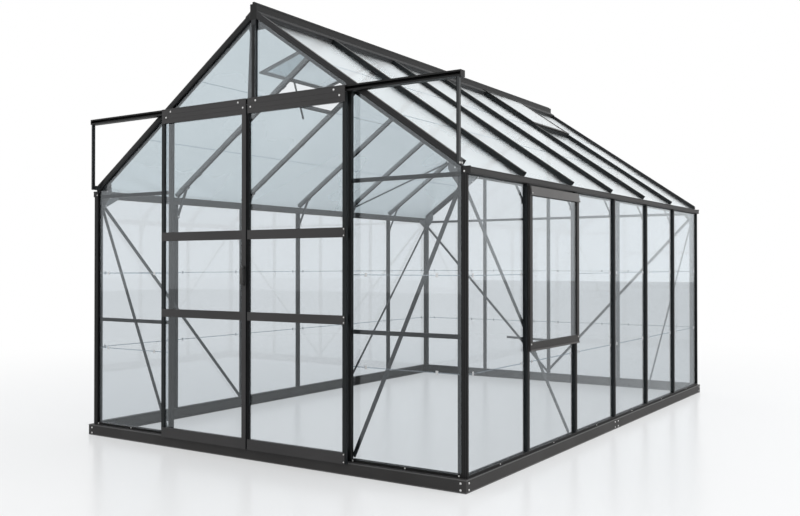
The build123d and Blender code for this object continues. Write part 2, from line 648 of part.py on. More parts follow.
def leaf_rails(inner, plate_from):
    """Rails of the right leaf: plates in front, deeper bodies between the stiles."""
    outer = LEAF_EDGE - OUTER_STILE
    rails = []
    for z0, z1 in (BOTTOM_RAIL, LOWER_RAIL, UPPER_RAIL, TOP_PLATE):
        first = PLATE_IN if z0 == TOP_PLATE[0] else plate_from
        rail = block(first, PLATE_OUT, LEAF_FRONT, LEAF_MID, z0, z1)
        rails.append(rail + block(inner, outer, LEAF_MID, LEAF_BACK, z0, min(z1, LEAF_TOP)))
    return rails


def leaf_glass(inner):
    outer = LEAF_EDGE - OUTER_STILE
    spans = ((BOTTOM_RAIL[1], LOWER_RAIL[0]), (LOWER_RAIL[1], UPPER_RAIL[0]), (UPPER_RAIL[1], TOP_PLATE[0]))
    return [block(inner, outer, LEAF_BACK - GLASS, LEAF_BACK, z0, z1) for z0, z1 in spans]


def rollers():
    """Wheels in the track, each on an axle from the back of the top plate."""
    wheels = []
    for x in (PLATE_IN + 57, PLATE_OUT - 57):
        centre = (x, 0, slot_mid)
        wheel_y = TRACK_FRONT + 14
        wheel = Pos(x, wheel_y, slot_mid) * Rot(90, 0, 0) * Cylinder(WHEEL, 8)
        reach = wheel_y - 4 - LEAF_MID
        axle = Pos(x, LEAF_MID + reach / 2, slot_mid) * Rot(90, 0, 0) * Cylinder(3.5, reach)
        wheels.append(wheel + axle)
    return wheels


outer_stile = block(LEAF_EDGE - OUTER_STILE, LEAF_EDGE, LEAF_MID, LEAF_BACK, LEAF_Z0, LEAF_TOP)

seal_in = HALF_GAP + SEAL_STILE
seal_stile = block(HALF_GAP, seal_in, LEAF_MID, LEAF_BACK, LEAF_Z0, LEAF_TOP)
save("door_right_stiles", outer_stile, seal_stile)
save("door_right_rails", *leaf_rails(seal_in, PLATE_IN))
save("door_right_glass", *leaf_glass(seal_in))
save("door_right_rollers", *rollers())

# The left leaf's meeting stile stands in front of its rails and carries the handle.
meet_in = HALF_GAP + MEETING_STILE
meeting_stile = block(HALF_GAP, meet_in, LEAF_MID, LEAF_BACK, LEAF_Z0, LEAF_TOP)
meeting_stile += block(HALF_GAP, meet_in, LEAF_FRONT, LEAF_MID, LEAF_Z0, TOP_PLATE[0])
save("door_left_stiles", left(outer_stile), left(meeting_stile))
save("door_left_rails", *[left(r) for r in leaf_rails(meet_in, meet_in)])
save("door_left_glass", *[left(g) for g in leaf_glass(meet_in)])
save("door_left_rollers", *[left(r) for r in rollers()])

handle_x = HALF_GAP + MEETING_STILE / 2
grip = block(handle_x - 8, handle_x + 8, HANDLE_FRONT, HANDLE_FRONT + 8, 891, 991)
for z in (891, 981):
    grip += block(handle_x - 8, handle_x + 8, HANDLE_FRONT + 8, LEAF_FRONT, z, z + 10)
save("door_handle", left(grip))
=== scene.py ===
import math

import bmesh
import bpy
from mathutils import Matrix, Vector


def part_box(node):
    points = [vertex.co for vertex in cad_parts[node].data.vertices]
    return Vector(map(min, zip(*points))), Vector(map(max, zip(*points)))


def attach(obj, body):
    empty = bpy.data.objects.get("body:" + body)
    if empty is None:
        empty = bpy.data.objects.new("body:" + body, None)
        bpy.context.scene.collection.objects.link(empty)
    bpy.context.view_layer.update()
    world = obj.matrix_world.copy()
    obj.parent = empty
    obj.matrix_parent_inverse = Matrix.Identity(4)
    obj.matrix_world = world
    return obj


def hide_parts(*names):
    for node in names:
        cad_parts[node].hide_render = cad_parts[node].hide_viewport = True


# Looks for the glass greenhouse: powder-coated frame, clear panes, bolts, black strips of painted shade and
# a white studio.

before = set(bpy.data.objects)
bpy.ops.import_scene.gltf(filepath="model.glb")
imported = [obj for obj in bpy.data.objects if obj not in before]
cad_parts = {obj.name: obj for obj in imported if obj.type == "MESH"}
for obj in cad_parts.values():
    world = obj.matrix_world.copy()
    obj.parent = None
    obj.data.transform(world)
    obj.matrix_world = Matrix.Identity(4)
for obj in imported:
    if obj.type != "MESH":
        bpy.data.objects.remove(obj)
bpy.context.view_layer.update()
scene = bpy.context.scene

# ---------------------------------------------------------------- sizes read from the CAD model
MM = 0.001


def span(node):
    """Lowest and highest corner of a node, in millimetres."""
    lo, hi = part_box(node)
    return lo / MM, hi / MM


base_hi = span("base_gable_rails")[1]
post_hi = span("corner_posts")[1]
bars_lo, bars_hi = span("wall_bars_right")
roof_lo, roof_hi = span("roof_bars_right")
window_lo, window_hi = span("window_frame")
gutter_hi = span("gutter_right")[1]
ridge_lo, ridge_hi = span("ridge_beam")
cover_hi = span("ridge_covers")[1]
vent_lo, vent_hi = span("vent_right_frame")
leaf_lo, leaf_hi = span("door_right_rails")
track_lo, track_hi = span("door_track")
strut_lo, strut_hi = span("track_struts")
grip_lo, grip_hi = span("door_handle")

# Sizes of the part's own source that no box gives.
SIDE_BAYS = 6
BAR = 30                # cap width of a bar, and face of a post or rafter
GLASS = 4
ROOF_RISE = 0.692
GUTTER_HEIGHT = 29
STRUT_DEPTH = 12        # across the gable

# House coordinates are in millimetres, with Y from the middle of the ridge.
MIDDLE = (ridge_lo.y + ridge_hi.y) / 2
WALL_OUT = post_hi.x
GABLE_OUT = post_hi.y - MIDDLE
POST_IN = WALL_OUT - BAR
CAP = WALL_OUT - span("glass_walls")[1].x
GLASS_X = WALL_OUT - CAP
GLASS_Y = GABLE_OUT - CAP
GLASS_BACK_Y = GLASS_Y - GLASS
BASE_X = base_hi.x
BASE_Y = base_hi.y - MIDDLE
BASE_TOP = base_hi.z
SILL_Z = bars_lo.z
SILL_TOP = span("sills")[1].z
EAVES = bars_hi.z

PITCH = (bars_hi.y - bars_lo.y - BAR) / (SIDE_BAYS - 2)
BAY_END = SIDE_BAYS * PITCH / 2
BAR_LINES = [PITCH * i - BAY_END for i in range(1, SIDE_BAYS)]
BAY_MIDDLES = [PITCH * (i + 0.5) - BAY_END for i in range(SIDE_BAYS)]
HALF_PANE = (PITCH - BAR) / 2
DOOR_POST = span("door_surround")[1].x - BAR / 2
WINDOW_Y = (window_lo.y + window_hi.y) / 2 - MIDDLE
VENT_Y = (vent_lo.y + vent_hi.y) / 2 - MIDDLE
SAME_LINE = 1           # two lines closer than this are one

RIDGE_HALF = roof_lo.x
FOOT_X = roof_hi.x
FOOT_Z = roof_hi.z - ROOF_RISE * (FOOT_X - RIDGE_HALF)
SLOPE = math.atan(ROOF_RISE)
COS = math.cos(SLOPE)
SIN = math.sin(SLOPE)
PANE_PAST_EAVES = 6     # the roof panes run past the foot of the bars
ROOF_CAP = (FOOT_X + PANE_PAST_EAVES * COS - span("glass_roof")[1].x) / SIN
APEX_Z = FOOT_Z + ROOF_RISE * (FOOT_X - BAR)

STRUT_Y = strut_lo.y - MIDDLE
TRACK_LOW = track_lo.z
TRACK_TOP = track_hi.z
LEAF_FRONT = leaf_lo.y - MIDDLE
LEAF_TOP = leaf_hi.z
STILE_FRONT = span("door_right_stiles")[0].y - MIDDLE
GUSSET_Y = span("gussets")[1].y - MIDDLE
GUTTER_Y = gutter_hi.y - MIDDLE

# Where the panes overlap: heights on the walls, distances from the ridge on the roof.
LAP_HEIGHTS = (512, 949)
ROOF_LAPS = (838, 424)
ROOF_CLIPS = (1040, 700, 340)

SIDES = (-1, 1)
CORNERS = [(sx, sy) for sx in SIDES for sy in SIDES]


def roof_point(x, y, depth=0.0):
    """Point of a roof slope above a distance from the ridge, sunk by a depth."""
    return Vector((x, y, FOOT_Z + ROOF_RISE * (FOOT_X - abs(x)) - depth / COS))


def roof_up(side):
    """Outward direction of a roof slope."""
    return Vector((side * SIN, 0, COS))


# ---------------------------------------------------------------- materials
def material(name):
    mat = bpy.data.materials.new(name)
    mat.use_nodes = True
    tree = mat.node_tree
    tree.nodes.clear()
    return mat, tree, tree.nodes.new("ShaderNodeOutputMaterial")


def add(tree, kind, **values):
    """New shader node, with each value set on its socket or, without one, on the node itself."""
    node = tree.nodes.new("ShaderNode" + kind)
    for key, value in values.items():
        if key in node.inputs:
            node.inputs[key].default_value = value
        else:
            setattr(node, key, value)
    return node


def remap(tree, source, low, high, start=0.0, end=1.0):
    """Map start..end of a value to low..high."""
    node = tree.nodes.new("ShaderNodeMapRange")
    node.inputs["From Min"].default_value = start
    node.inputs["From Max"].default_value = end
    node.inputs["To Min"].default_value = low
    node.inputs["To Max"].default_value = high
    tree.links.new(source, node.inputs["Value"])
    return node


def mix_shaders(tree, factor, first, second, out):
    """Blend two shader outputs by a factor into the material's or world's output."""
    mix = tree.nodes.new("ShaderNodeMixShader")
    tree.links.new(factor, mix.inputs["Fac"])
    tree.links.new(first, mix.inputs[1])
    tree.links.new(second, mix.inputs[2])
    tree.links.new(mix.outputs["Shader"], out.inputs["Surface"])


def grain(tree, scale, low, high, stretch=(1, 1, 1)):
    """Noise on the object's own coordinates: as it is, and remapped to low..high."""
    coords = add(tree, "TexCoord")
    spread = add(tree, "Mapping", Scale=stretch)
    tree.links.new(coords.outputs["Object"], spread.inputs["Vector"])
    noise = add(tree, "TexNoise", Scale=scale, Detail=2.0)
    tree.links.new(spread.outputs["Vector"], noise.inputs["Vector"])
    ranged = remap(tree, noise.outputs["Fac"], low, high, 0.3, 0.7)
    return noise.outputs["Fac"], ranged.outputs["Result"]


def drifting_colour(tree, shader, scale, dark, light):
    """Base colour that drifts slowly between two tones."""
    factor = grain(tree, scale, 0.0, 1.0)[1]
    mix = tree.nodes.new("ShaderNodeMix")
    mix.data_type = "RGBA"
    mix.inputs["A"].default_value = (*dark, 1)
    mix.inputs["B"].default_value = (*light, 1)
    tree.links.new(factor, mix.inputs["Factor"])
    tree.links.new(mix.outputs["Result"], shader.inputs["Base Color"])


def fine_relief(tree, shader, speck, strength, distance):
    bump = add(tree, "Bump", Strength=strength, Distance=distance)
    tree.links.new(speck, bump.inputs["Height"])
    tree.links.new(bump.outputs["Normal"], shader.inputs["Normal"])


def powder_coat(name, colour, rough=0.42, shine=0.3, metallic=0.0):
    """Satin powder coat: fine orange peel, with a slow drift in tone and gloss."""
    mat, tree, out = material(name)
    shader = add(tree, "BsdfPrincipled", Metallic=metallic)
    shader.inputs["Specular IOR Level"].default_value = shine
    light = tuple(min(1, c * 1.14 + 0.0006) for c in colour)
    dark = tuple(c * 0.88 for c in colour)
    drifting_colour(tree, shader, 2.6, dark, light)
    speck, gloss = grain(tree, 900, rough - 0.05, rough + 0.05)
    tree.links.new(gloss, shader.inputs["Roughness"])
    fine_relief(tree, shader, speck, 0.12, 0.0002)
    tree.links.new(shader.outputs["BSDF"], out.inputs["Surface"])
    return mat


def metal(name, colour, rough):
    """Plated metal with fine scratches in its gloss."""
    mat, tree, out = material(name)
    shader = add(tree, "BsdfPrincipled", Metallic=1.0)
    drifting_colour(tree, shader, 40, tuple(c * 0.85 for c in colour), colour)
    speck, gloss = grain(tree, 1600, rough - 0.06, rough + 0.06, (1, 1, 6))
    tree.links.new(gloss, shader.inputs["Roughness"])
    fine_relief(tree, shader, speck, 0.1, 0.0001)
    tree.links.new(shader.outputs["BSDF"], out.inputs["Surface"])
    return mat


def glass(name, tint, sheen, head_on=0.04, fall=5.0, haze=0.02):
    """Thin pane that lets light straight through, slightly tinted.

    The share that reflects grows from head_on to all of it at a slant, and haze roughens its gloss.
    """
    mat, tree, out = material(name)
    clear = add(tree, "BsdfTransparent", Color=(*tint, 1))
    gloss = add(tree, "BsdfGlossy", Color=(*sheen, 1))
    rough = grain(tree, 1.7, haze * 0.6, haze * 1.4)[1]
    tree.links.new(rough, gloss.inputs["Roughness"])
    facing = add(tree, "LayerWeight", Blend=0.5)
    slant = add(tree, "Math", operation="POWER")
    slant.inputs[1].default_value = fall
    tree.links.new(facing.outputs["Facing"], slant.inputs[0])
    share = remap(tree, slant.outputs["Value"], head_on, 1.0)
    mix_shaders(tree, share.outputs["Result"], clear.outputs["BSDF"], gloss.outputs["BSDF"], out)
    return mat


FRAME = powder_coat("frame_coat", (0.010, 0.010, 0.010), 0.42, 0.25)
BARS = powder_coat("bar_coat", (0.015, 0.0175, 0.0185), 0.45, 0.2)
PLINTH = powder_coat("plinth_coat", (0.044, 0.042, 0.041), 0.52, 0.2)
GUTTERS = powder_coat("gutter_coat", (0.034, 0.033, 0.033), 0.5, 0.2)
RAFTERS = powder_coat("rafter_coat", (0.020, 0.020, 0.021), 0.42, 0.32)
MULLIONS = powder_coat("mullion_coat", (0.026, 0.029, 0.031), 0.45, 0.3)
DOORS = powder_coat("door_coat", (0.042, 0.040, 0.040), 0.42, 0.35)
SASH = powder_coat("sash_coat", (0.022, 0.020, 0.019), 0.42, 0.30)
HOOD = powder_coat("hood_coat", (0.066, 0.062, 0.060), 0.40, 0.45)
# Inner members in a lighter, bluish coat than the frame: painted sheen of the panes they are seen through.
SHEENED_BRACES = powder_coat("brace_coat_painted_sheen", (0.034, 0.037, 0.039), 0.42, 0.40)
COVERS = powder_coat("cover_coat", (0.036, 0.036, 0.037), 0.46, 0.3)
# Lighter coat for the beads on the base's edges: painted highlight.
BASE_HIGHLIGHT_COAT = powder_coat("base_edge_painted_highlight", (0.085, 0.083, 0.082), 0.36, 0.5)
GALVANISED = powder_coat("gusset_zinc", (0.17, 0.175, 0.18), 0.38, 0.5, 0.5)
GRIP = powder_coat("handle_coat", (0.060, 0.058, 0.056), 0.35, 0.50)
ROLLERS = powder_coat("roller_nylon", (0.010, 0.010, 0.010), 0.55, 0.30)
# Black PVC capping on the bars and clips, and the same black as painted shade on the rafters, struts and
# ridge.
CAPPING_AND_SHADE = powder_coat("capping_pvc_and_painted_shade", (0.006, 0.007, 0.008), 0.30, 0.25)
# Near-black for the strip on the right door's stile: painted shade.
STILE_SHADE = powder_coat("stile_painted_shade", (0.004, 0.004, 0.005), 0.65, 0.15)
BOLTS = metal("bolt_zinc", (0.90, 0.90, 0.89), 0.32)
CLIPS = metal("clip_steel", (0.80, 0.81, 0.82), 0.30)
PANES = glass("pane_glass", (0.905, 0.918, 0.928), (0.92, 0.97, 1.0), 0.065, 4.0)
# Hazy, so that the roof doesn't mirror its own bars.
ROOF_PANES = glass("roof_glass", (0.845, 0.893, 0.912), (0.97, 0.99, 1.0), 0.09, 3.2, 0.3)
LAP_GLASS = glass("lap_edge_glass", (0.72, 0.76, 0.78), (0.9, 0.95, 1.0), 0.22)

FINISHES = (
    (PLINTH, ("base_gable_rails", "base_side_rails", "base_joints")),
    (BARS, ("wall_bars_left", "wall_bars_right", "roof_bars_left", "roof_bars_right", "transoms")),
    (BARS, ("door_left_stiles", "door_right_stiles")),
    (DOORS, ("door_left_rails", "door_right_rails")),
    (ROLLERS, ("door_left_rollers", "door_right_rollers")),
    (RAFTERS, ("gable_rafters",)),
    (MULLIONS, ("gable_mullions",)),
    (COVERS, ("ridge_covers",)),
    (GUTTERS, ("gutter_left", "gutter_right")),
    (SASH, ("window_frame",)),
    (GRIP, ("door_handle",)),
    (GALVANISED, ("gussets",)),
    (SHEENED_BRACES, ("wall_braces", "gable_braces", "roof_braces", "knee_braces", "gable_tie_bars")),
    (SHEENED_BRACES, ("track_struts", "window_stay", "vent_stays")),
    (ROOF_PANES, ("glass_roof", "vent_glass")),
    (PANES, ("glass_walls", "glass_front", "glass_back", "window_glass")),
    (PANES, ("door_left_glass", "door_right_glass")),
)
finish_of = {name: finish for finish, names in FINISHES for name in names}
for name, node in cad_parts.items():
    node.data.materials.clear()
    node.data.materials.append(finish_of.get(name, FRAME))


# ---------------------------------------------------------------- small parts, drawn in millimetres
def piece(name, mesh, mat, body="house"):
    """Finish a mesh drawn in house millimetres and let it ride on a body."""
    data = bpy.data.meshes.new(name)
    mesh.transform(Matrix.Scale(MM, 4) @ Matrix.Translation((0, MIDDLE, 0)))
    bmesh.ops.recalc_face_normals(mesh, faces=mesh.faces)
    mesh.to_mesh(data)
    mesh.free()
    data.materials.append(mat)
    obj = bpy.data.objects.new(name, data)
    scene.collection.objects.link(obj)
    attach(obj, body)
    return obj


# A bolt's outline as shares of its radius and height: washer, domed head, socket.
BOLT_OUTLINE = ((1.25, 0), (1.25, 0.2), (1, 0.25), (0.96, 0.6), (0.8, 0.9), (0.5, 1), (0.46, 0.5))
BOLT_SIDES = 12


def bolt(mesh, point, normal, radius=4.2, height=2.6):
    """Button head on a washer flange, with a hexagon socket."""
    turned = Vector(normal).normalized().to_track_quat("Z", "Y").to_matrix().to_4x4()
    place = Matrix.Translation(point) @ turned
    rings = []
    for reach, rise in BOLT_OUTLINE:
        ring = []
        for k in range(BOLT_SIDES):
            socket_side = reach < 0.6 and k % 2
            spread = reach * radius * (0.87 if socket_side else 1)
            turn = 2 * math.pi * k / BOLT_SIDES
            spot = Vector((spread * math.cos(turn), spread * math.sin(turn), rise * height))
            ring.append(mesh.verts.new(place @ spot))
        rings.append(ring)
    for lower, upper in zip(rings, rings[1:]):
        for k in range(BOLT_SIDES):
            j = k - BOLT_SIDES + 1
            mesh.faces.new((lower[k], lower[j], upper[j], upper[k]))
    mesh.faces.new(rings[-1])


def close(mesh, near, far):
    """Solid between two matching outlines of vertices."""
    mesh.faces.new(near)
    mesh.faces.new(far[::-1])
    for k in range(len(near)):
        mesh.faces.new((near[k - 1], near[k], far[k], far[k - 1]))


def run(mesh, start, end, out, section):
    """Extrude a section of (sideways, outward) points from start to end."""
    start, end, out = Vector(start), Vector(end), Vector(out).normalized()
    side = (end - start).normalized().cross(out)
    caps = [[mesh.verts.new(p + side * u + out * v) for u, v in section] for p in (start, end)]
    for k in range(len(section)):
        j = k - len(section) + 1
        mesh.faces.new((caps[0][k], caps[0][j], caps[1][j], caps[1][k]))
    mesh.faces.new(caps[0])
    mesh.faces.new(caps[1][::-1])


def upright(mesh, x, y, low, high, out, section):
    """Extrude a section straight up."""
    run(mesh, (x, y, low), (x, y, high), out, section)


def strip(half, proud):
    """Low domed section, such as a capping strip or a rib."""
    return [
        (-half, -0.2),
        (-half, proud * 0.3),
        (-half * 0.7, proud * 0.85),
        (0, proud),
        (half * 0.7, proud * 0.85),
        (half, proud * 0.3),
        (half, -0.2),
    ]


def flat(half, thick, proud=0.0):
    """Flat bar section with its face at a height above the line that it follows."""
    return [(-half, proud - thick), (-half, proud), (half, proud), (half, proud - thick)]


# Capping strips snapped over the glazing bars.
mesh = bmesh.new()
cap_strip = strip(10, 2.4)
window_bars = (WINDOW_Y - PITCH / 2, WINDOW_Y + PITCH / 2)
for side in SIDES:
    for y in BAR_LINES:
        by_window = side > 0 and min(abs(y - bar) for bar in window_bars) < SAME_LINE
        top = window_lo.z - 1 if by_window else EAVES
        upright(mesh, side * WALL_OUT, y, SILL_Z, top, (side, 0, 0), cap_strip)
        by_vent = abs(abs(y - side * VENT_Y) - PITCH / 2) < SAME_LINE
        high = vent_hi.x + 4 if by_vent else cover_hi.x
        foot = roof_point(side * (FOOT_X - 1), y)
        run(mesh, foot, roof_point(side * high, y), roof_up(side), cap_strip)
    for x in (-PITCH, 0, PITCH):
        top = FOOT_Z + ROOF_RISE * (FOOT_X - abs(x) - BAR / 2) - BAR / COS if x else APEX_Z - 60
        if side > 0:
            upright(mesh, x, GABLE_OUT, SILL_Z, top, (0, 1, 0), cap_strip)
            continue
        post = math.copysign(DOOR_POST, x) if x else 0
        upright(mesh, post, -GABLE_OUT, TRACK_TOP, top, (0, -1, 0), cap_strip)
        if x:
            upright(mesh, post, -GABLE_OUT, BASE_TOP, TRACK_LOW - 3, (0, -1, 0), cap_strip)
piece("bar_capping", mesh, CAPPING_AND_SHADE)

# Pane edges that lie over the flanges either side of the upper front mullion.
mesh = bmesh.new()
MARGIN = 5.0
inset = BAR / 2 - MARGIN / 2 + 0.3
for x in (-inset, inset):
    upright(mesh, x, -GABLE_OUT, TRACK_TOP, APEX_Z - 70, (0, -1, 0), flat(MARGIN / 2, 1.4, 1.2))
piece("pane_margins", mesh, PANES)

# Glazing flanges close behind the gable panes, along the rafters and the corner posts.
mesh = bmesh.new()
BEHIND_PANE = GLASS_BACK_Y - 0.3
FLANGE_DEPTH = 39.5     # middle of a rafter's flange, below the roof plane
for sx, sy in CORNERS:
    y = sy * BEHIND_PANE
    low = roof_point(sx * (FOOT_X - BAR), y, FLANGE_DEPTH)
    high = roof_point(sx * (RIDGE_HALF + 3), y, FLANGE_DEPTH)
    run(mesh, low, high, (0, sy, 0), flat(10.5, 2.0))
    upright(mesh, sx * (POST_IN - 12), y, SILL_TOP, EAVES + 20, (0, sy, 0), flat(14, 2.0))
piece("glazing_flanges", mesh, SHEENED_BRACES)

# Black strip on one rafter of each gable: painted shade, on the front gable's left rafter and the back
# gable's right one.
mesh = bmesh.new()
for side in SIDES:
    low = roof_point(side * (FOOT_X - 4), side * GABLE_OUT, 17)
    high = roof_point(side * (RIDGE_HALF + 8), side * GABLE_OUT, 17)
    run(mesh, low, high, (0, side, 0), strip(11, 1.2))
piece("rafter_painted_shade", mesh, CAPPING_AND_SHADE)

# Black strip on the inner faces of the track struts: painted shade of the shadowed inside of their angle
# section.
mesh = bmesh.new()
for side in SIDES:
    x = side * (strut_hi.x - STRUT_DEPTH)
    upright(mesh, x, STRUT_Y + 7, strut_lo.z + 4, TRACK_LOW - 1, (-side, 0, 0), strip(9, 2.5))
piece("strut_painted_shade", mesh, CAPPING_AND_SHADE)

# Ribs rolled into the corner posts and gable rafters.
mesh = bmesh.new()
rib = strip(1.6, 1.2)
for sx, sy in CORNERS:
    for inset in (8, 20):
        x = sx * (WALL_OUT - inset)
        upright(mesh, x, sy * GABLE_OUT, BASE_TOP, EAVES, (0, sy, 0), rib)
    upright(mesh, sx * WALL_OUT, sy * (GABLE_OUT - 7), BASE_TOP, EAVES, (sx, 0, 0), rib)
    for depth in (8, 22):
        low = roof_point(sx * (FOOT_X - 18), sy * GABLE_OUT, depth)
        high = roof_point(sx * (RIDGE_HALF + 8), sy * GABLE_OUT, depth)
        run(mesh, low, high, (0, sy, 0), rib)
piece("rolled_ribs", mesh, RAFTERS)

# Black lines along the ridge, under its top edge and above the flashing: painted shade of the ridge's
# grooves.
mesh = bmesh.new()
for side in SIDES:
    x = side * RIDGE_HALF
    for z, half in ((ridge_hi.z - 17, 2.2), (ridge_hi.z - 47, 2.8)):
        run(mesh, (x, -GABLE_OUT, z), (x, GABLE_OUT, z), (side, 0, 0), strip(half, 1.0))
piece("ridge_groove_shade", mesh, CAPPING_AND_SHADE)

# Flat that leans behind the upper left pane, from the door head to the apex plate.
mesh = bmesh.new()
low = (-42, -BEHIND_PANE, TRACK_TOP - 6)
high = (-24, -BEHIND_PANE, ridge_hi.z - 120)
run(mesh, low, high, (0, -1, 0), flat(11, 3))
piece("apex_flat", mesh, SHEENED_BRACES)

# Closing strips between the ridge flashing and the panes, left out in the bays of the vents.
mesh = bmesh.new()
closer = [(0, -ROOF_CAP + 0.5), (0, -0.5), (3, -0.5), (3, -ROOF_CAP + 0.5)]
PAST_RAFTER = 20
edges = [-GABLE_OUT] + BAR_LINES + [GABLE_OUT]
for side in SIDES:
    x = side * (cover_hi.x - 6)
    for y0, y1 in zip(edges, edges[1:]):
        if abs((y0 + y1) / 2 - side * VENT_Y) > PITCH / 2:
            start = roof_point(x, y0 + (PAST_RAFTER if y0 == -GABLE_OUT else BAR / 2))
            end = roof_point(x, y1 - (PAST_RAFTER if y1 == GABLE_OUT else BAR / 2))
            run(mesh, start, end, roof_up(side), closer)
piece("flashing_closers", mesh, COVERS)

# Rolled upper edge of the gutters, and a rib low on their face.
mesh = bmesh.new()
for side in SIDES:
    x = side * gutter_hi.x
    for z, bulge in ((EAVES + GUTTER_HEIGHT - 2.2, strip(2.2, 1.8)), (EAVES + 5, rib)):
        run(mesh, (x, -GUTTER_Y, z), (x, GUTTER_Y, z), (side, 0, 0), bulge)
piece("gutter_beads", mesh, GUTTERS)

# Rolled upper and lower edges of the steel base, in a lighter coat than the base: a painted highlight along
# both edges.
mesh = bmesh.new()
for z, bulge in ((BASE_TOP - 2.4, strip(2.6, 1.8)), (3, strip(2.4, 1.0))):
    for side in SIDES:
        run(mesh, (-BASE_X, side * BASE_Y, z), (BASE_X, side * BASE_Y, z), (0, side, 0), bulge)
        run(mesh, (side * BASE_X, -BASE_Y, z), (side * BASE_X, BASE_Y, z), (side, 0, 0), bulge)
piece("base_beads", mesh, BASE_HIGHLIGHT_COAT)

# ---------------------------------------------------------------- bolts
# Base: two bolts each way from every corner, and two each side of the splice halfway along.
mesh = bmesh.new()
BASE_BOLTS = (13, 43)
for sx in SIDES:
    for sy in SIDES:
        for z in BASE_BOLTS:
            bolt(mesh, (sx * (BASE_X - 28), sy * BASE_Y, z), (0, sy, 0))
            bolt(mesh, (sx * BASE_X, sy * (BASE_Y - 26), z), (sx, 0, 0))
    for y in (-26, 26):
        for z in BASE_BOLTS:
            bolt(mesh, (sx * BASE_X, y, z), (sx, 0, 0))
piece("base_bolts", mesh, BOLTS)

# Sills: one bolt to a bay, and more beside the door posts and front corners.
mesh = bmesh.new()
sill_mid = (BASE_TOP + SILL_Z) / 2
for side in SIDES:
    for y in BAY_MIDDLES:
        bolt(mesh, (side * WALL_OUT, y, sill_mid), (side, 0, 0), 3.2, 2.0)
    bolt(mesh, (side * 932, -GABLE_OUT, sill_mid), (0, -1, 0), 3.2, 2.0)
    bolt(mesh, (side * 1215, -GABLE_OUT, sill_mid), (0, -1, 0), 3.4, 2.2)
    for x in (PITCH / 2, 1.5 * PITCH):
        bolt(mesh, (side * x, GABLE_OUT, sill_mid), (0, 1, 0), 3.2, 2.0)
bolt(mesh, (PITCH + 20, -GABLE_OUT, sill_mid), (0, -1, 0), 4.2, 2.4)
piece("sill_bolts", mesh, BOLTS)

# Eaves: gutter ends, back ends of the rafters and feet of the track struts.
mesh = bmesh.new()
for sx in SIDES:
    for sy in SIDES:
        bolt(mesh, (sx * 1240, sy * GUTTER_Y, EAVES + 10), (0, sy, 0), 3.4, 2.0)
    for x in (1218, 1233):
        bolt(mesh, (sx * x, GABLE_OUT, FOOT_Z - 12), (0, 1, 0), 4.0, 2.4)
    for y in (STRUT_Y + 8, STRUT_Y + 27):
        bolt(mesh, (sx * strut_hi.x, y, EAVES + 44), (sx, 0, 0), 4.4, 2.6)
piece("eaves_bolts", mesh, BOLTS)

# Inner bracing: (across, above the eaves) on the tie bars, gussets and corner braces, then on the knees.
mesh = bmesh.new()
TIE_BOLTS = (1135, 748)
GUSSET_BOLTS = ((1142, 60), (1179, 32), (1192, -53))
BRACE_BOLTS = ((1750, -30), (1700, -4))
for sx in SIDES:
    for sy in SIDES:
        for x in TIE_BOLTS:
            bolt(mesh, (sx * x, sy * (GLASS_BACK_Y - 1.6), EAVES - 9), (0, sy, 0), 4.0, 1.6)
        for x, rise in GUSSET_BOLTS:
            bolt(mesh, (sx * x, sy * GUSSET_Y, EAVES + rise), (0, sy, 0), 4.0, 2.0)
        for y, rise in BRACE_BOLTS:
            bolt(mesh, (sx * 1227, sy * y, EAVES + rise), (sx, 0, 0), 4.0, 1.6)
    for y in BAR_LINES:
        bolt(mesh, (sx * 1223, y, EAVES - 88), (-sx, 0, 0), 4.0, 2.4)
        bolt(mesh, roof_point(sx * 1141, y, 34), -roof_up(sx), 4.0, 2.4)
piece("brace_bolts", mesh, BOLTS)

# ---------------------------------------------------------------- laps and clips of the panes
laps = bmesh.new()
clips = bmesh.new()
springs = bmesh.new()
LAP = flat(2.4, 1.4, 1.2)
CLIP = [(-7, -0.4), (-7, 0.9), (-3, 1.6), (3, 1.6), (7, 0.9), (7, -0.4)]
CLIP_HALF = 9
SPRING = [(-3, -0.3), (-3, 5), (-1, 7), (1, 7), (3, 5), (3, -0.3)]
SPRING_HALF = 16
front_bays = [(-1.5 * PITCH, PITCH), (1.5 * PITCH, PITCH)]
back_bays = front_bays + [(-PITCH / 2, PITCH), (PITCH / 2, PITCH)]
for z in LAP_HEIGHTS:
    low, high = z - CLIP_HALF, z + CLIP_HALF
    for side in SIDES:
        x = side * GLASS_X
        for y in BAY_MIDDLES:
            if side > 0 and abs(y - WINDOW_Y) < SAME_LINE and z > window_lo.z:
                continue
            run(laps, (x, y - HALF_PANE, z), (x, y + HALF_PANE, z), (side, 0, 0), LAP)
            for dy in (-HALF_PANE + 45, HALF_PANE - 45):
                upright(clips, x, y + dy, low, high, (side, 0, 0), CLIP)
        y = side * GLASS_Y
        for x, width in back_bays if side > 0 else front_bays:
            half = (width - BAR) / 2
            run(laps, (x - half, y, z), (x + half, y, z), (0, side, 0), LAP)
            for dx in (-half + 75, half - 120):
                upright(clips, x + dx, y, low, high, (0, side, 0), CLIP)
for side in SIDES:
    for y in BAY_MIDDLES:
        for x in ROOF_LAPS:
            if x < vent_hi.x + 20 and abs(y - side * VENT_Y) < SAME_LINE:
                continue
            low = roof_point(side * x, y - HALF_PANE, ROOF_CAP)
            high = roof_point(side * x, y + HALF_PANE, ROOF_CAP)
            run(laps, low, high, roof_up(side), LAP)
    along = Vector((side * COS, 0, -SIN)) * SPRING_HALF
    for y in BAR_LINES:
        for x in ROOF_CLIPS:
            for beside in (-BAR / 2 - 2, BAR / 2 + 2):
                spot = roof_point(side * x, y + beside, ROOF_CAP)
                run(springs, spot - along, spot + along, roof_up(side), SPRING)
piece("pane_laps", laps, LAP_GLASS)
piece("pane_clips", clips, CLIPS)
piece("roof_clips", springs, CAPPING_AND_SHADE)

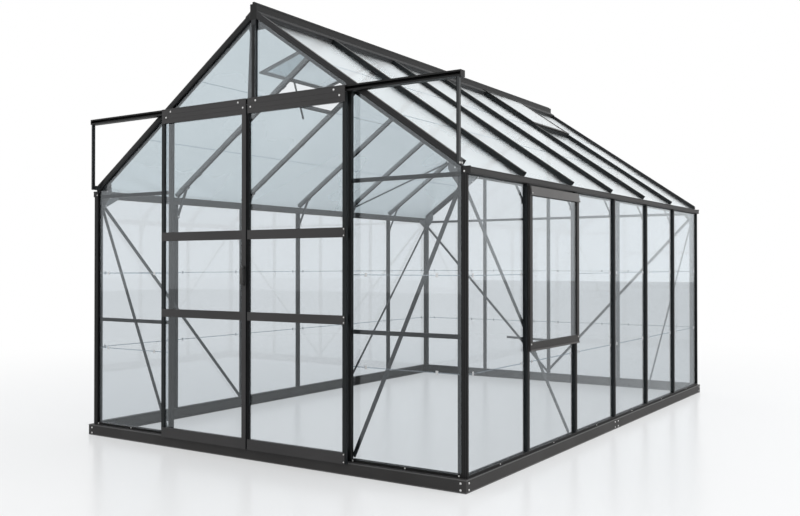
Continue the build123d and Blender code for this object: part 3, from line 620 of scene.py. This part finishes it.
# ---------------------------------------------------------------- window
# Hood that slopes over the top rail, and a drip lip on the bottom rail.
mesh = bmesh.new()
half = (window_hi.y - window_lo.y) / 2
face_x = window_hi.x
low = window_lo.z
high = window_hi.z
HOOD_HEIGHT = 47
HOOD_OUT = 9
HOOD_TAPER = 12
outline = [
    (-half, high - HOOD_HEIGHT, HOOD_OUT),
    (half, high - HOOD_HEIGHT, HOOD_OUT),
    (half - HOOD_TAPER, high - 1, 0.5),
    (-half + HOOD_TAPER, high - 1, 0.5),
]
front = [mesh.verts.new((face_x + out, WINDOW_Y + y, z)) for y, z, out in outline]
rear = [mesh.verts.new((face_x, WINDOW_Y + y, z)) for y, z, out in outline]
close(mesh, front, rear)
lip = (face_x, WINDOW_Y - half, low + 5)
run(mesh, lip, (face_x, WINDOW_Y + half, low + 5), (1, 0, 0), strip(4, 4))
piece("window_hood", mesh, HOOD)

mesh = bmesh.new()
for dy in (-half + 13, half - 13):
    bolt(mesh, (face_x, WINDOW_Y + dy, low + 36), (1, 0, 0), 3.4, 2.2)
    bolt(mesh, (face_x + 6, WINDOW_Y + dy + 3, high - 36), (1, 0, 0.15), 3.4, 2.2)
piece("window_bolts", mesh, BOLTS)

# ---------------------------------------------------------------- doors
PLATE_LOW = LEAF_TOP - 79
PLATE_END = leaf_hi.x
PLATE_BOLTS = ((26, 32), (60, 62))      # in from the ends of the plate, above its lower edge
PLATE_RIBS = (PLATE_LOW + 24, PLATE_LOW + 49, LEAF_TOP - 5)
RAILS = ((56, 109), (713, 756), (1127, 1174))
for body, side in (("door_left", -1), ("door_right", 1)):
    mesh = bmesh.new()
    for x, rise in PLATE_BOLTS:
        for along in (x, PLATE_END - 6 - x):
            bolt(mesh, (side * along, LEAF_FRONT, PLATE_LOW + rise), (0, -1, 0), 4.2, 2.4)
    for z0, z1 in RAILS if side > 0 else ():
        for z in (z0 + 9, z1 - 8):
            bolt(mesh, (PLATE_END - 6, LEAF_FRONT, z), (0, -1, 0), 2.6, 1.8)
    piece(body + "_bolts", mesh, BOLTS, body)

    mesh = bmesh.new()
    for z in PLATE_RIBS:
        start = (side * 8, LEAF_FRONT, z)
        end = (side * (PLATE_END - 2), LEAF_FRONT, z)
        run(mesh, start, end, (0, -1, 0), strip(1.4, 0.9))
    piece(body + "_ribs", mesh, DOORS, body)

# Black strip on the right leaf's stile, between its rails: painted shade of the recess behind the meeting
# stiles.
mesh = bmesh.new()
edges = [z for rail in RAILS for z in rail] + [PLATE_LOW]
for z0, z1 in zip(edges[1::2], edges[2::2]):
    upright(mesh, 9.5, STILE_FRONT, z0, z1, (0, -1, 0), strip(6.5, 2.2))
piece("door_right_stile_shade", mesh, STILE_SHADE, "door_right")

# Face strip of the left leaf's meeting stile.
mesh = bmesh.new()
upright(mesh, -17.5, LEAF_FRONT, RAILS[0][0], PLATE_LOW, (0, -1, 0), strip(14, 1.0))
piece("door_left_face_strip", mesh, DOORS, "door_left")

# Bow handle with rounded edges, in place of the plain one of the CAD model.
mesh = bmesh.new()
HANDLE_HALF = 8
handle_x = (grip_lo.x + grip_hi.x) / 2
front_y = grip_lo.y - MIDDLE
back_y = grip_hi.y - MIDDLE
low, high = grip_lo.z, grip_hi.z
arch = [
    (back_y, low),
    (front_y + 9, low),
    (front_y, low + 12),
    (front_y, high - 12),
    (front_y + 9, high),
    (back_y, high),
    (back_y, high - 11),
    (front_y + 13, high - 11),
    (front_y + 8, high - 18),
    (front_y + 8, low + 18),
    (front_y + 13, low + 11),
    (back_y, low + 11),
]
near = [mesh.verts.new((handle_x + HANDLE_HALF, y, z)) for y, z in arch]
far = [mesh.verts.new((handle_x - HANDLE_HALF, y, z)) for y, z in arch]
close(mesh, near, far)
bmesh.ops.bevel(mesh, geom=mesh.edges[:], offset=2.0, segments=3, affect="EDGES", clamp_overlap=True)
handle = piece("bow_handle", mesh, GRIP, "door_left")
for face in handle.data.polygons:
    face.use_smooth = True
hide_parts("door_handle")

# ---------------------------------------------------------------- studio
FLOOR_NEAR = -26
FLOOR_FAR = 50
floor_corners = [
    (FLOOR_NEAR, FLOOR_NEAR, 0),
    (FLOOR_FAR, FLOOR_NEAR, 0),
    (FLOOR_FAR, FLOOR_FAR, 0),
    (FLOOR_NEAR, FLOOR_FAR, 0),
]
floor_mesh = bpy.data.meshes.new("studio_floor")
floor_mesh.from_pydata(floor_corners, [], [(0, 1, 2, 3)])
floor = bpy.data.objects.new("studio_floor", floor_mesh)
scene.collection.objects.link(floor)

# The floor shades as a pale gloss near the house and fades to plain white further off, to the camera alone.
mat, tree, out = material("studio_white")
path = add(tree, "LightPath")
lit = add(tree, "BsdfPrincipled", Roughness=0.22)
lit.inputs["Base Color"].default_value = (0.92, 0.925, 0.93, 1)
lit.inputs["Specular IOR Level"].default_value = 0.5
glow = add(tree, "Emission", Color=(1, 1, 1, 1))
dimmer = remap(tree, path.outputs["Is Glossy Ray"], 1.0, 0.58)
tree.links.new(dimmer.outputs["Result"], glow.inputs["Strength"])
spot = add(tree, "TexCoord")
away = add(tree, "VectorMath", operation="LENGTH")
tree.links.new(spot.outputs["Object"], away.inputs[0])
fade = remap(tree, away.outputs["Value"], 0.45, 1.0, 2.0, 7.0)
fade.interpolation_type = "SMOOTHSTEP"
share = add(tree, "Math", operation="MULTIPLY_ADD")
tree.links.new(path.outputs["Is Camera Ray"], share.inputs[0])
tree.links.new(fade.outputs["Result"], share.inputs[1])
tree.links.new(path.outputs["Is Glossy Ray"], share.inputs[2])
mix_shaders(tree, share.outputs["Value"], lit.outputs["BSDF"], glow.outputs["Emission"], out)
floor_mesh.materials.append(mat)

# The world lights softly, and shows plain white to the camera, in gloss and through glass.
world = bpy.data.worlds.new("studio")
scene.world = world
world.use_nodes = True
tree = world.node_tree
tree.nodes.clear()
out = tree.nodes.new("ShaderNodeOutputWorld")
path = add(tree, "LightPath")
first = add(tree, "Math", operation="MAXIMUM")
tree.links.new(path.outputs["Is Camera Ray"], first.inputs[0])
tree.links.new(path.outputs["Is Glossy Ray"], first.inputs[1])
seen = add(tree, "Math", operation="MAXIMUM")
tree.links.new(first.outputs["Value"], seen.inputs[0])
tree.links.new(path.outputs["Is Transmission Ray"], seen.inputs[1])
soft = add(tree, "Background", Color=(0.96, 0.98, 1, 1), Strength=0.8)
white = add(tree, "Background", Color=(1, 1, 1, 1), Strength=1.0)
mix_shaders(tree, seen.outputs["Value"], soft.outputs["Background"], white.outputs["Background"], out)
scene.view_settings.view_transform = "Standard"

# One large soft lamp from the right.
KEY_PLACE = Vector((9, 1, 6))
KEY_TARGET = Vector((0, 0, 1))
key = bpy.data.lights.new("key", "AREA")
key.shape = "DISK"
key.size = 6
key.energy = 350
lamp = bpy.data.objects.new("key", key)
lamp.location = KEY_PLACE
lamp.rotation_euler = (KEY_TARGET - KEY_PLACE).to_track_quat("-Z", "Y").to_euler()
scene.collection.objects.link(lamp)

# ---------------------------------------------------------------- camera, at the photograph's viewing angle
IMAGE_WIDTH = 800
FOCAL_LENGTH = 896.7    # in pixels of that width
SENSOR = 36
lens = bpy.data.cameras.new("camera")
lens.sensor_width = SENSOR
lens.lens = FOCAL_LENGTH / IMAGE_WIDTH * SENSOR
lens.clip_end = 400
camera = bpy.data.objects.new("camera", lens)
camera.location = (3.1655, MIDDLE * MM - 5.304, 0.9915)
camera.rotation_euler = (math.radians(90.503), 0, math.radians(33.26))
scene.collection.objects.link(camera)
scene.camera = camera
